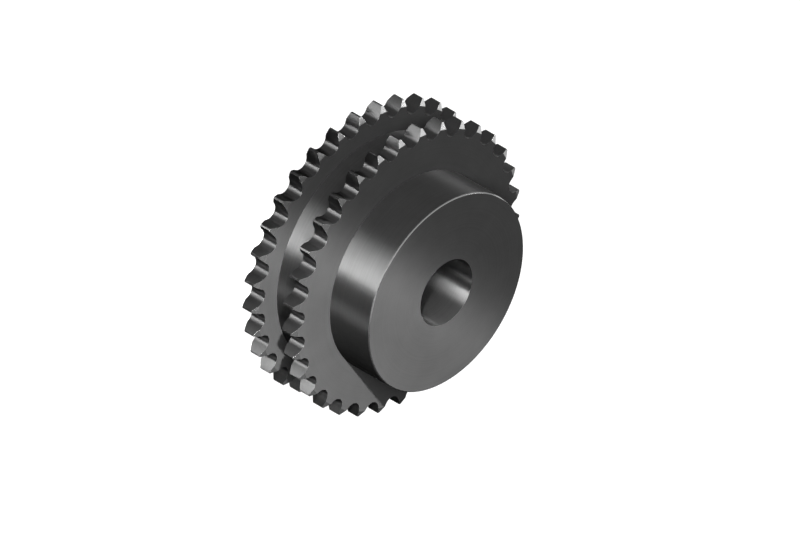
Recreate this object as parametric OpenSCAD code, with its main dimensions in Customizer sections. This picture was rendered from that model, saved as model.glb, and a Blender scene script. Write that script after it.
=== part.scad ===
// Double single-strand chain sprocket: two toothed discs and a hub on one
// side, turned and gear-cut from one piece of steel. It lies on the back of
// its back disc: the bore's axis is Z, the back face is Z = 0, the hub is up.

/* [Chain] */
// Pitch of the roller chain
chain_pitch = 25.4; // [24.5:0.1:26.5]
// Diameter of the chain's rollers
roller_d = 15.88; // [15:0.01:16.5]

/* [Teeth] */
// Number of teeth on each disc
teeth = 33; // [32:1:48]
// Extra radius of the seat in a tooth gap over the roller's own radius
seat_play = 0.25; // [0.08:0.01:0.3]
// Angle of the seat's arc round the roller, in degrees
seat_angle = 128; // [118:1:136]
// Radius of the rounded tooth flank above the seat
flank_r = 67; // [60:1:160]
// Height of the tooth tips above the pitch circle
tip_rise = 5.5; // [4.5:0.1:6]
// Radial height of the bevel on both sides of each tooth
bevel_h = 6.1; // [3:0.1:7]
// Depth of that bevel at the tooth tip, along the axis
bevel_depth = 2.6; // [1.2:0.1:4]

/* [Discs] */
// Thickness of each toothed disc
disc_t = 16.2; // [13:0.1:18]
// Distance from one disc to the same face of the other
disc_spacing = 48; // [40:0.5:80]
// Diameter of the solid core between the two discs
core_d = 221; // [160:1:240]

/* [Hub and bore] */
// Diameter of the hub
hub_d = 188.5; // [120:0.5:200]
// Length of the hub in front of the front disc
hub_len = 47.2; // [20:0.1:80]
// Chamfer round the end of the hub
hub_chamfer = 1; // [0.5:0.1:3]
// Diameter of the plain bore
bore_d = 63; // [25:0.5:90]

/* [Hidden] */

// Smoothness of the turned surfaces, of a roller's seat and of a tooth flank
$fn = 180;
seat_fn = 60;
flank_fn = 360;

// Chain geometry: the rollers of a wrapped chain sit on the pitch circle
tooth_angle = 360 / teeth;
pitch_r = chain_pitch / 2 / sin(tooth_angle / 2);
tip_r = pitch_r + tip_rise;
seat_r = roller_d / 2 + seat_play;
bevel_r = tip_r - bevel_h;

// Heights along the axis, from the back face
hub_root_z = disc_spacing + disc_t;
overall_len = hub_root_z + hub_len;

// Cutters run this far past what they cut
past = 1;
// The seat's arc runs this far past the point where the flank meets it
seat_blend = 0.02;

// Outline of one tooth gap, with its middle on +X: a round seat for the
// roller, and a throat between the rounded flanks of two teeth
module tooth_gap() {
    half = seat_angle / 2;
    flank_reach = seat_r + flank_r - seat_blend;
    throat_x = pitch_r - seat_r * cos(half);
    translate([pitch_r, 0]) circle(r = seat_r, $fn = seat_fn);
    difference() {
        polygon([
            [throat_x, -seat_r * sin(half)],
            [throat_x, seat_r * sin(half)],
            [pitch_r, chain_pitch / 2],
            [tip_r + past, chain_pitch / 2],
            [tip_r + past, -chain_pitch / 2],
            [pitch_r, -chain_pitch / 2]
        ]);
        for (side = [-1, 1])
            translate([
                pitch_r - flank_reach * cos(half),
                side * flank_reach * sin(half)
            ])
                circle(r = flank_r, $fn = flank_fn);
    }
}

// Turned blank of one disc: a plate whose rim is bevelled on both sides
module disc_blank() {
    rotate_extrude()
        polygon([
            [0, 0],
            [bevel_r, 0],
            [tip_r, bevel_depth],
            [tip_r, disc_t - bevel_depth],
            [bevel_r, disc_t],
            [0, disc_t]
        ]);
}

// One toothed disc, with a tooth gap centred on +X
module toothed_disc() {
    difference() {
        disc_blank();
        translate([0, 0, -past])
            linear_extrude(height = disc_t + 2 * past)
                for (k = [0 : teeth - 1])
                    rotate(k * tooth_angle) tooth_gap();
    }
}

// Turned body: the core that joins the discs, and the hub with its chamfer
module turned_body() {
    hub_r = hub_d / 2;
    core_r = core_d / 2;
    rotate_extrude()
        polygon([
            [0, 0],
            [core_r, 0],
            [core_r, hub_root_z],
            [hub_r, hub_root_z],
            [hub_r, overall_len - hub_chamfer],
            [hub_r - hub_chamfer, overall_len],
            [0, overall_len]
        ]);
}

module sprocket() {
    color("dimgray")
        difference() {
            union() {
                turned_body();
                toothed_disc();
                translate([0, 0, disc_spacing]) toothed_disc();
            }
            translate([0, 0, -past])
                cylinder(h = overall_len + 2 * past, d = bore_d);
        }
}

sprocket();
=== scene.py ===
import math

import bpy
from mathutils import Matrix, Vector


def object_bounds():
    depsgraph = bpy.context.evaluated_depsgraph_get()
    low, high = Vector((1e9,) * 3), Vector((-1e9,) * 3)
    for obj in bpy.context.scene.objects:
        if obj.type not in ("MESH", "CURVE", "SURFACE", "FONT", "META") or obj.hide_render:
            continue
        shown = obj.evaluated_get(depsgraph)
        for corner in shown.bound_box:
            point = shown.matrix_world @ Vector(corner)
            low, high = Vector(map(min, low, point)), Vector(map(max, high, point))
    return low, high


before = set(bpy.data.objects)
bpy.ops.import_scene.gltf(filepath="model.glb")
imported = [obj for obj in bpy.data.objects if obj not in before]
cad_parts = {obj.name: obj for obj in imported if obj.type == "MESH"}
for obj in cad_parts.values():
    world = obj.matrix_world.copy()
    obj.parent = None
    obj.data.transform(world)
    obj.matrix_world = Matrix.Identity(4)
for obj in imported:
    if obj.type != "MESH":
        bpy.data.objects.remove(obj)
cad_low, cad_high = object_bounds()

# Camera
# A parallel isometric view. The sprocket lies on its back face here, so the
# camera looks down on it and is rolled until its axis slopes as it should.
image_width_px = 800
mm_per_px = 0.859
view_azimuth_deg = 80.46
view_elevation_deg = math.degrees(math.asin(1 / math.sqrt(3)))
view_roll_deg = 120
view_distance = 2.0
# The middle of the hub's end lies this far right of and below the middle
# of the picture, in pixels
hub_right_px = 46.34
hub_below_px = 25.99


def direction(azimuth_deg, elevation_deg):
    """The unit vector from the sprocket towards that azimuth and elevation."""
    azimuth, elevation = math.radians(azimuth_deg), math.radians(elevation_deg)
    level = math.cos(elevation)
    return Vector((level * math.cos(azimuth), level * math.sin(azimuth), math.sin(elevation)))


to_camera = direction(view_azimuth_deg, view_elevation_deg)
level_right = direction(view_azimuth_deg + 90, 0)
level_up = to_camera.cross(level_right)
view_roll = math.radians(view_roll_deg)
picture_right = level_right * math.cos(view_roll) + level_up * math.sin(view_roll)
picture_up = to_camera.cross(picture_right)

m_per_px = mm_per_px / 1000
hub_end = Vector((0, 0, cad_high.z))
picture_middle = hub_end + (picture_up * hub_below_px - picture_right * hub_right_px) * m_per_px

camera_data = bpy.data.cameras.new("camera")
camera_data.type = "ORTHO"
camera_data.sensor_fit = "HORIZONTAL"
camera_data.ortho_scale = image_width_px * m_per_px
camera = bpy.data.objects.new("camera", camera_data)
bpy.context.scene.collection.objects.link(camera)
turn = Matrix((picture_right, picture_up, to_camera)).transposed().to_4x4()
camera.matrix_world = Matrix.Translation(picture_middle + to_camera * view_distance) @ turn
bpy.context.scene.camera = camera

# Sprocket
# One piece of medium carbon steel, turned all over on a lathe, with its
# teeth cut by a hob, then blackened in hot oxide salts and oiled.
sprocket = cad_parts["sprocket"]

# Sizes of its finish, in metres
ring_spacing = 0.00182
ring_relief = 0.000005
patch_width = 0.020
speck_width = 0.00303
edge_break = 0.0003

# Where the colour changes, in metres from the bore's axis and, on the hub's
# chamfer, in metres below the hub's end: the bore's painted light, the teeth's
# painted shade and edge wear, and the chamfer's painted highlight line
bore_within = 0.04
teeth_beyond = 0.12
chamfer_highlight_from = 0.0007
chamfer_highlight_full = 0.0004

# How steep its sloped surfaces are, in degrees from flat
tooth_bevel_deg = 23.1
hub_chamfer_deg = 45


def linear(srgb):
    """The linear colour of an sRGB hex value."""
    parts = [int(srgb[i:i + 2], 16) / 255 for i in (1, 3, 5)]
    return [p / 12.92 if p <= 0.04045 else ((p + 0.055) / 1.055) ** 2.4 for p in parts] + [1]


turned_tone = linear("#5b5b5b")
# The bore is lighter than the turned walls: painted light that makes up for the light the bore's
# rim keeps out
bore_painted_light_tone = linear("#676767")
# The teeth's walls are darker than the turned walls: painted shade in the gaps between the teeth
tooth_wall_painted_shade_tone = linear("#545454")
flat_tone = linear("#2b2b2b")
bevel_tone = linear("#b8b8b8")
# Bare steel shows where the teeth's edges are rubbed, and is also painted round the hub's chamfer
# as a highlight line
bare_steel_and_highlight_tone = linear("#8c8c8c")
grazing_tone = linear("#898989")

# Black oxide is a thin matte skin without a gloss of its own. What shines is
# the steel under it: much on walls and bevels, little on flat faces.
wall_metallic = 0.975
face_metallic = 0.1
oxide_roughness = 0.38
bevel_roughness = 0.24
bare_steel_roughness = 0.16


def add(tree, kind, inputs=None, **settings):
    """Adds a node. Each of its inputs is set to a value or linked to an output."""
    node = tree.nodes.new(kind)
    for name, value in settings.items():
        setattr(node, name, value)
    for socket, value in (inputs or {}).items():
        if isinstance(value, bpy.types.NodeSocket):
            tree.links.new(value, node.inputs[socket])
        else:
            node.inputs[socket].default_value = value
    return node


black_steel = bpy.data.materials.new("black_oxide_turned_steel")
black_steel.use_nodes = True
tree = black_steel.node_tree
tree.nodes.clear()

# How far a surface's normal leans to Z, as a cosine, tells walls (0), the
# chamfer round the hub's end, the tooth bevels and flat faces (1) apart
place = add(tree, "ShaderNodeTexCoord")
normal = add(tree, "ShaderNodeSeparateXYZ", {0: place.outputs["Normal"]})
lean = add(tree, "ShaderNodeMath", {0: normal.outputs["Z"]}, operation="ABSOLUTE")
is_wall = add(tree, "ShaderNodeMath", {0: lean.outputs[0], 1: 0.5}, operation="LESS_THAN")
is_face = add(tree, "ShaderNodeMath", {0: lean.outputs[0], 1: 0.97}, operation="GREATER_THAN")
is_bevel = add(tree, "ShaderNodeMath", {
    0: lean.outputs[0], 1: math.cos(math.radians(tooth_bevel_deg)), 2: 0.04,
}, operation="COMPARE")
is_chamfer = add(tree, "ShaderNodeMath", {
    0: lean.outputs[0], 1: math.cos(math.radians(hub_chamfer_deg)), 2: 0.1,
}, operation="COMPARE")

# Where a point is: its distance from the bore's axis, and its height
point = add(tree, "ShaderNodeSeparateXYZ", {0: place.outputs["Object"]})
flat_point = add(tree, "ShaderNodeCombineXYZ", {"X": point.outputs["X"], "Y": point.outputs["Y"]})
radius = add(tree, "ShaderNodeVectorMath", {0: flat_point.outputs[0]}, operation="LENGTH")
in_bore = add(tree, "ShaderNodeMath", {
    0: radius.outputs["Value"], 1: bore_within,
}, operation="LESS_THAN")
on_teeth = add(tree, "ShaderNodeMath", {
    0: radius.outputs["Value"], 1: teeth_beyond,
}, operation="GREATER_THAN")

# Tool marks: rings on faces, and bands across Z on walls and hobbed flanks.
# A real feed of 0.3 mm is too fine to show, so they lie 1.8 mm apart. In a
# Mix node, sockets 2 and 3 are its two numbers, and 6 and 7 its two colours.
feed = add(tree, "ShaderNodeMix", {
    "Factor": is_wall.outputs[0], 2: radius.outputs["Value"], 3: point.outputs["Z"],
})
rings = add(tree, "ShaderNodeTexNoise", {
    "W": feed.outputs[0], "Scale": 1 / ring_spacing, "Detail": 2, "Roughness": 0.6,
}, noise_dimensions="1D")
ring_shade = add(tree, "ShaderNodeMapRange", {
    "Value": rings.outputs[0], "From Min": 0.3, "From Max": 0.7, "To Min": 0.96, "To Max": 1.04,
})

# The oxide takes a little unevenly, in soft patches some 20 mm wide
patches = add(tree, "ShaderNodeTexNoise", {
    "Vector": place.outputs["Object"], "Scale": 1 / patch_width, "Detail": 3, "Roughness": 0.55,
})
patch_shade = add(tree, "ShaderNodeMapRange", {
    "Value": patches.outputs[0], "From Min": 0.3, "From Max": 0.7, "To Min": 0.95, "To Max": 1.05,
})
shade = add(tree, "ShaderNodeMath", {
    0: ring_shade.outputs[0], 1: patch_shade.outputs[0],
}, operation="MULTIPLY")

# Sharp edges are broken 0.3 mm, and along those of the teeth the black is
# rubbed thin, in specks of 3 mm. The upper half of the hub's chamfer is given
# bare steel all round, a painted highlight line along the hub's rim.
rounded = add(tree, "ShaderNodeBevel", {"Radius": edge_break}, samples=4)
true_normal = add(tree, "ShaderNodeNewGeometry")
alike = add(tree, "ShaderNodeVectorMath", {
    0: rounded.outputs[0], 1: true_normal.outputs["Normal"],
}, operation="DOT_PRODUCT")
at_edge = add(tree, "ShaderNodeMapRange", {
    "Value": alike.outputs["Value"], "From Min": 0.99, "From Max": 0.9,
})
specks = add(tree, "ShaderNodeTexNoise", {
    "Vector": place.outputs["Object"], "Scale": 1 / speck_width, "Detail": 2,
})
rubbed = add(tree, "ShaderNodeMapRange", {
    "Value": specks.outputs[0], "From Min": 0.4, "From Max": 0.6, "To Min": 0.05, "To Max": 0.25,
})
tooth_edge = add(tree, "ShaderNodeMath", {
    0: at_edge.outputs[0], 1: on_teeth.outputs[0],
}, operation="MULTIPLY")
tooth_wear = add(tree, "ShaderNodeMath", {
    0: tooth_edge.outputs[0], 1: rubbed.outputs[0],
}, operation="MULTIPLY")
# A painted highlight line along the hub's rim: the chamfer's upper half takes the bare steel
# colour all round
near_hub_end = add(tree, "ShaderNodeMapRange", {
    "Value": point.outputs["Z"],
    "From Min": hub_end.z - chamfer_highlight_from, "From Max": hub_end.z - chamfer_highlight_full,
})
chamfer_painted_highlight = add(tree, "ShaderNodeMath", {
    0: is_chamfer.outputs[0], 1: near_hub_end.outputs[0],
}, operation="MULTIPLY")
wear_and_painted_highlight = add(tree, "ShaderNodeMath", {
    0: tooth_wear.outputs[0], 1: chamfer_painted_highlight.outputs[0],
}, operation="MAXIMUM")

# Colour: grey sheen on turned walls, lighter in the bore as painted light,
# darker on the teeth's walls as painted shade, matte black on faces, bright on
# the bevels, where worn and along the chamfer's painted highlight line
turned_or_painted_bore_light = add(tree, "ShaderNodeMix", {
    "Factor": in_bore.outputs[0], 6: turned_tone, 7: bore_painted_light_tone,
}, data_type="RGBA")
wall_colour = add(tree, "ShaderNodeMix", {
    "Factor": on_teeth.outputs[0], 6: turned_or_painted_bore_light.outputs[2], 7: tooth_wall_painted_shade_tone,
}, data_type="RGBA")
wall_or_face = add(tree, "ShaderNodeMix", {
    "Factor": is_face.outputs[0], 6: wall_colour.outputs[2], 7: flat_tone,
}, data_type="RGBA")
oxide_colour = add(tree, "ShaderNodeMix", {
    "Factor": is_bevel.outputs[0], 6: wall_or_face.outputs[2], 7: bevel_tone,
}, data_type="RGBA")
shaded_oxide = add(tree, "ShaderNodeVectorMath", {
    0: oxide_colour.outputs[2], "Scale": shade.outputs[0],
}, operation="SCALE")
colour = add(tree, "ShaderNodeMix", {
    "Factor": wear_and_painted_highlight.outputs[0], 6: shaded_oxide.outputs[0], 7: bare_steel_and_highlight_tone,
}, data_type="RGBA")

# Gloss: the turning marks draw each reflection on a wall out along the axis.
# The grey tint dulls what the steel reflects at a grazing angle.
metallic = add(tree, "ShaderNodeMapRange", {
    "Value": is_face.outputs[0], "To Min": wall_metallic, "To Max": face_metallic,
})
unworn_roughness = add(tree, "ShaderNodeMapRange", {
    "Value": is_bevel.outputs[0], "To Min": oxide_roughness, "To Max": bevel_roughness,
})
roughness = add(tree, "ShaderNodeMix", {
    "Factor": wear_and_painted_highlight.outputs[0], 2: unworn_roughness.outputs[0], 3: bare_steel_roughness,
})
around = add(tree, "ShaderNodeTangent", direction_type="RADIAL", axis="Z")
relief = add(tree, "ShaderNodeBump", {
    "Height": rings.outputs[0], "Distance": ring_relief, "Normal": rounded.outputs[0],
})
oxide = add(tree, "ShaderNodeBsdfPrincipled", {
    "Base Color": colour.outputs[2],
    "Metallic": metallic.outputs[0],
    "Roughness": roughness.outputs[0],
    "Anisotropic": is_wall.outputs[0],
    "Anisotropic Rotation": 0.25,
    "Tangent": around.outputs[0],
    "Specular IOR Level": 0,
    "Specular Tint": grazing_tone,
    "Normal": relief.outputs[0],
})
add(tree, "ShaderNodeOutputMaterial", {"Surface": oxide.outputs[0]})

sprocket.data.materials.clear()
sprocket.data.materials.append(black_steel)

# Floor
# A plain pale light table of opal acrylic that the sprocket's back face rests
# on. It glows a little, so the ground is white and takes no grey shadow.
floor_half = 4.0
floor_mesh = bpy.data.meshes.new("floor")
floor_mesh.from_pydata(
    [(x * floor_half, y * floor_half, 0) for x, y in ((-1, -1), (1, -1), (1, 1), (-1, 1))],
    [], [(0, 1, 2, 3)],
)
floor = bpy.data.objects.new("floor", floor_mesh)
bpy.context.scene.collection.objects.link(floor)

# Opal acrylic, cast with a frosted face: soft white, and nothing mirrors in it
opal = bpy.data.materials.new("opal_acrylic_light_table")
opal.use_nodes = True
opal_shader = opal.node_tree.nodes["Principled BSDF"]
opal_shader.inputs["Base Color"].default_value = linear("#808080")
opal_shader.inputs["Roughness"].default_value = 0.9
opal_shader.inputs["Specular IOR Level"].default_value = 0.1
opal_shader.inputs["Emission Color"].default_value = linear("#ffffff")
opal_shader.inputs["Emission Strength"].default_value = 0.9
floor_mesh.materials.append(opal)

# Its glow stays out of the steel's reflections
floor.visible_glossy = False

# Soft boxes
# Five boxes stand round the sprocket, all seen only as the bright bands and
# lines that they make along the walls, on the bevels and on the hub's chamfer.
sprocket_middle = hub_end / 2
lamp_distance = 1.4


def hang(name, data, away):
    """Hangs a lamp in that direction from the middle of the sprocket, facing it."""
    lamp = bpy.data.objects.new(name, data)
    bpy.context.scene.collection.objects.link(lamp)
    lamp.location = sprocket_middle + away * lamp_distance
    lamp.rotation_euler = away.to_track_quat("Z", "Y").to_euler()
    lamp.visible_camera = False
    return lamp


def softbox(name, turn_deg, rise_deg, width, height, radiance):
    """Hangs a soft box that far round from the camera and that high. Returns its nodes."""
    data = bpy.data.lights.new(name, "AREA")
    data.shape = "RECTANGLE"
    data.size = width
    data.size_y = height
    data.energy = radiance * math.pi * width * height
    data.use_nodes = True
    box = hang(name, data, direction(view_azimuth_deg + turn_deg, rise_deg))
    box.visible_diffuse = False
    return data.node_tree


# The largest box fades from one side to the other
band = softbox("band_box", turn_deg=11.5, rise_deg=24, width=1.06, height=0.82, radiance=40)
on_box = add(band, "ShaderNodeNewGeometry")
across_box = add(band, "ShaderNodeSeparateXYZ", {0: on_box.outputs["Parametric"]})
band.links.new(across_box.outputs["X"], band.nodes["Emission"].inputs["Strength"])
softbox("side_box", turn_deg=68, rise_deg=20, width=0.25, height=0.6, radiance=6)
softbox("streak_box", turn_deg=-121, rise_deg=32, width=0.22, height=0.3, radiance=24)
softbox("rim_box", turn_deg=-142, rise_deg=3, width=0.35, height=0.15, radiance=4)
softbox("chamfer_box", turn_deg=60, rise_deg=47, width=0.6, height=0.25, radiance=0.9)

# Key and fill
# A spot behind a graded filter lights one half of the flat faces and throws
# the shadows. A sun at the camera keeps the other half from going black.
key_data = bpy.data.lights.new("key_spot", "SPOT")
key_data.energy = 885
key_data.spot_size = math.radians(24)
key_data.spot_blend = 0.1
key_data.shadow_soft_size = 0.02
key_data.use_nodes = True
key = hang("key_spot", key_data, direction(view_azimuth_deg - 8, 30))
key.visible_glossy = False

# The filter sits a little turned in the spot. From its dark side it rises to
# a bright strip, dips a little, and is even from there to its other side.
filter_turn_deg = 15
filter_reach = 0.1
dark_until = 0.39
even_from = 0.84
places_and_strengths = ((0.47, 0.12), (0.54, 0.42), (0.60, 1.15), (0.68, 0.95), (0.76, 0.75))
key.rotation_euler.rotate_axis("Z", math.radians(filter_turn_deg))
beam = key_data.node_tree
ray = add(beam, "ShaderNodeTexCoord")
ray_part = add(beam, "ShaderNodeSeparateXYZ", {0: ray.outputs["Normal"]})
across_beam = add(beam, "ShaderNodeMath", {
    0: ray_part.outputs["X"], 1: ray_part.outputs["Z"],
}, operation="DIVIDE")
in_filter = add(beam, "ShaderNodeMapRange", {
    "Value": across_beam.outputs[0], "From Min": filter_reach, "From Max": -filter_reach,
})
graded = add(beam, "ShaderNodeValToRGB", {0: in_filter.outputs[0]})
graded.color_ramp.interpolation = "B_SPLINE"
graded.color_ramp.elements[0].position = dark_until
graded.color_ramp.elements[1].position = even_from
for position, strength in places_and_strengths:
    graded.color_ramp.elements.new(position).color = (strength, strength, strength, 1)
beam.links.new(graded.outputs[0], beam.nodes["Emission"].inputs["Strength"])

fill_data = bpy.data.lights.new("fill_sun", "SUN")
fill_data.energy = 7.6
fill_data.angle = math.radians(20)
fill = hang("fill_sun", fill_data, to_camera)
fill.visible_glossy = False

# Room
# A studio whose walls are pale towards the picture's upper right and dim all
# round the rest, under a dark ceiling. Nothing shines from below the floor.
pale_middle = direction(view_azimuth_deg - 85, 20)
pale_within_deg = 68
dim_beyond_deg = 88
dim_strength = 0.04
pale_strength = 1.1
studio = bpy.data.worlds.new("studio")
bpy.context.scene.world = studio
studio.use_nodes = True
room = studio.node_tree
seen = add(room, "ShaderNodeTexCoord")
to_pale_middle = add(room, "ShaderNodeVectorMath", {
    0: seen.outputs["Generated"], 1: pale_middle,
}, operation="DOT_PRODUCT")
walls = add(room, "ShaderNodeMapRange", {
    "Value": to_pale_middle.outputs["Value"],
    "From Min": math.cos(math.radians(dim_beyond_deg)),
    "From Max": math.cos(math.radians(pale_within_deg)),
    "To Min": dim_strength, "To Max": pale_strength,
}, interpolation_type="SMOOTHSTEP")

# Heights are sines of the elevation, 0 at the floor and 1 straight up
height = add(room, "ShaderNodeSeparateXYZ", {0: seen.outputs["Generated"]})
above_floor = add(room, "ShaderNodeMapRange", {
    "Value": height.outputs["Z"], "From Min": -0.05, "From Max": 0.05,
})
below_ceiling = add(room, "ShaderNodeMapRange", {
    "Value": height.outputs["Z"], "From Min": 0.98, "From Max": 0.88,
})
lit_walls = add(room, "ShaderNodeMath", {
    0: walls.outputs[0], 1: below_ceiling.outputs[0],
}, operation="MULTIPLY")
light = add(room, "ShaderNodeMath", {
    0: lit_walls.outputs[0], 1: above_floor.outputs[0],
}, operation="MULTIPLY")
backdrop = room.nodes["Background"]
backdrop.inputs["Color"].default_value = linear("#ffffff")
room.links.new(light.outputs[0], backdrop.inputs["Strength"])
bpy.context.scene.view_settings.view_transform = "Standard"
